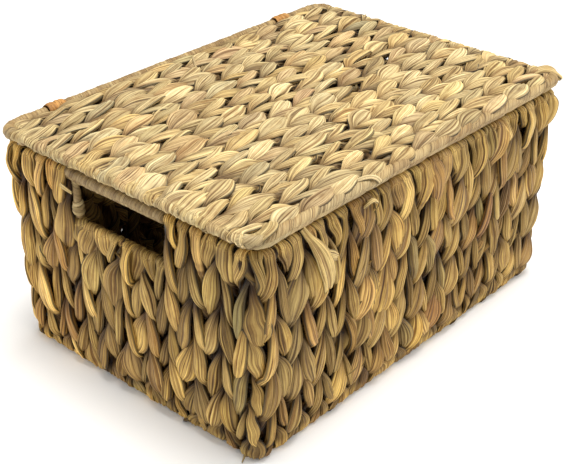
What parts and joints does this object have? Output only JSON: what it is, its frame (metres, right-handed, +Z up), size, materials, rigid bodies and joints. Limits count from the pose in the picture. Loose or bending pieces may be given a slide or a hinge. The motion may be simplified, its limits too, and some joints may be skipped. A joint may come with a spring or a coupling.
{
  "type": "woven lidded box",
  "caption": "Rectangular storage basket of twisted plant strands woven over a wire frame, with a hand hole in each end and a flat lid hinged on ties along the back.",
  "frame": {"origin": "centre of the underside, on the surface that the basket stands on", "axes": "+X along the long side, +Y towards the hinged back long side, +Z up"},
  "size_m": [0.4, 0.287, 0.203],
  "materials": {
    "wall_weave": "dried water-hyacinth strand, fibrous, satin, tan to olive-brown",
    "lid_weave": "dried water-hyacinth strand, fibrous, satin, pale straw",
    "edge_binding": "flat strip wound tightly round the edge wire, smooth satin",
    "hinge_tie": "orange-brown strip, matte",
    "frame_wire": "bare drawn steel wire, dull"
  },
  "bodies": {
    "basket": {"rim_wire": "frame_wire", "hoop_wire_1": "frame_wire", "hoop_wire_2": "frame_wire", "hoop_wire_3": "frame_wire", "hoop_wire_4": "frame_wire", "bottom_ring_wire": "frame_wire", "corner_post_front_left": "frame_wire", "corner_post_front_right": "frame_wire", "corner_post_back_right": "frame_wire", "corner_post_back_left": "frame_wire", "handle_post_left_a": "frame_wire", "handle_post_left_b": "frame_wire", "handle_post_right_a": "frame_wire", "handle_post_right_b": "frame_wire", "base_wire_1": "frame_wire", "base_wire_2": "frame_wire", "base_wire_3": "frame_wire", "base_wire_4": "frame_wire", "base_wire_5": "frame_wire", "base_wire_6": "frame_wire", "base_wire_7": "frame_wire", "weave_front": "wall_weave", "weave_right": "wall_weave", "weave_back": "wall_weave", "weave_left": "wall_weave", "weave_base": "wall_weave", "handle_grip_left": "edge_binding", "handle_post_wrap_left": "edge_binding", "handle_grip_right": "edge_binding", "handle_post_wrap_right": "edge_binding", "hinge_tie_left": "hinge_tie", "hinge_tie_right": "hinge_tie"},
    "lid": {"lid_edge_wire": "frame_wire", "lid_cross_wire_1": "frame_wire", "lid_cross_wire_2": "frame_wire", "lid_cross_wire_3": "frame_wire", "lid_cross_wire_4": "frame_wire", "lid_cross_wire_5": "frame_wire", "lid_cross_wire_6": "frame_wire", "lid_cross_wire_7": "frame_wire", "lid_cross_wire_8": "frame_wire", "lid_cross_wire_9": "frame_wire", "lid_cross_wire_10": "frame_wire", "lid_cross_wire_11": "frame_wire", "lid_weave": "lid_weave", "lid_binding_front": "edge_binding", "lid_binding_back_left": "edge_binding", "lid_binding_back_middle": "edge_binding", "lid_binding_back_right": "edge_binding", "lid_end_loops_left": "lid_weave", "lid_end_loops_right": "lid_weave"}
  },
  "joints": [
    {"name": "lid_hinge", "type": "hinge", "parent": "basket", "child": "lid", "pos_m": [0, 0.1378, 0.1968], "axis": [-1, 0, 0], "range_deg": [0, 180]}
  ]
}
